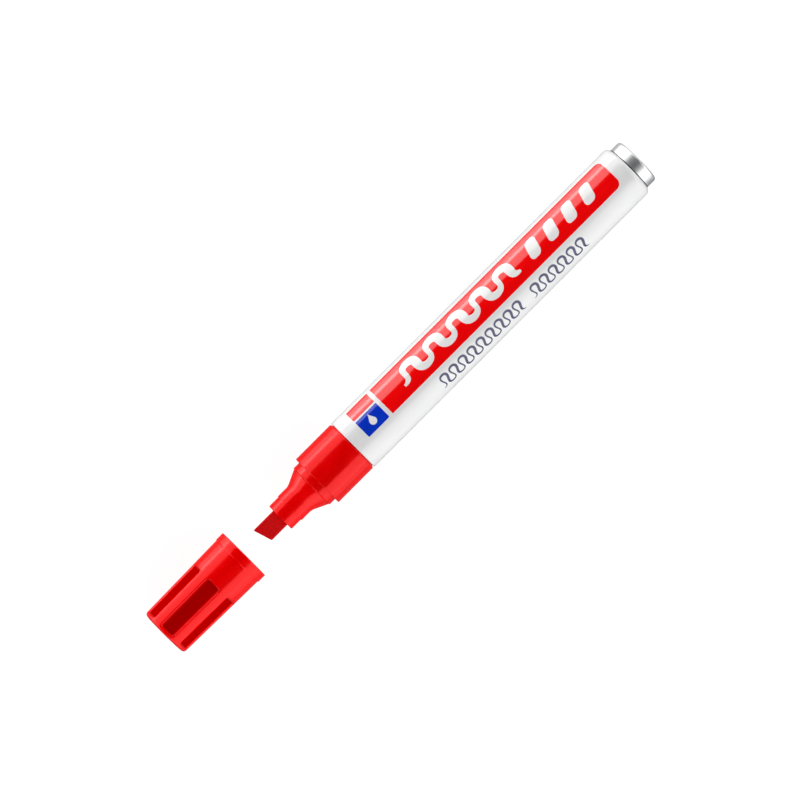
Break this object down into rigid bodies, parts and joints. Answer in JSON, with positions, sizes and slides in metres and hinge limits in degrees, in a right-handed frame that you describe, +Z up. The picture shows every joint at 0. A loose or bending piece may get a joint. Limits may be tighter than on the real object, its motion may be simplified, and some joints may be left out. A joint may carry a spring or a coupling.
{
  "type": "felt tip marker",
  "caption": "Permanent marker with a chisel felt nib, aluminium barrel, red front end and a fluted pull-off cap lying ahead of the nib.",
  "frame": {"origin": "on the ground, below the middle of the whole length from the cap's closed end to the end plug's face", "axes": "+X along the marker from the nib towards the end plug, +Z up, +Y towards the long corner of the nib"},
  "size_m": [0.166, 0.0152, 0.0152],
  "materials": {
    "barrel_lacquer": "gloss white lacquer on aluminium",
    "plug_aluminium": "bare drawn aluminium with fine turned lines",
    "seal_rubber": "dark matt rubber",
    "front_plastic": "glossy red moulded plastic",
    "nib_felt": "ink-soaked pressed felt",
    "wadding_fibre": "ink-soaked fibre wadding",
    "wrap_film": "thin clear film",
    "tube_plastic": "natural plastic tube",
    "cap_plastic": "glossy red moulded plastic",
    "sleeve_plastic": "natural translucent plastic"
  },
  "bodies": {
    "marker": {"barrel": "barrel_lacquer", "end_plug": "plug_aluminium", "end_plug_seal": "seal_rubber", "grip_collar": "front_plastic", "nib_holder": "front_plastic", "nib": "nib_felt", "ink_reservoir": "wadding_fibre", "reservoir_wrap": "wrap_film", "breather_tube": "tube_plastic"},
    "cap": {"cap": "cap_plastic", "inner_cap": "sleeve_plastic"}
  },
  "joints": [
    {"name": "cap_pull", "type": "slide", "parent": "marker", "child": "cap", "axis": [1, 0, 0], "range_m": [0, 0.0255]}
  ]
}
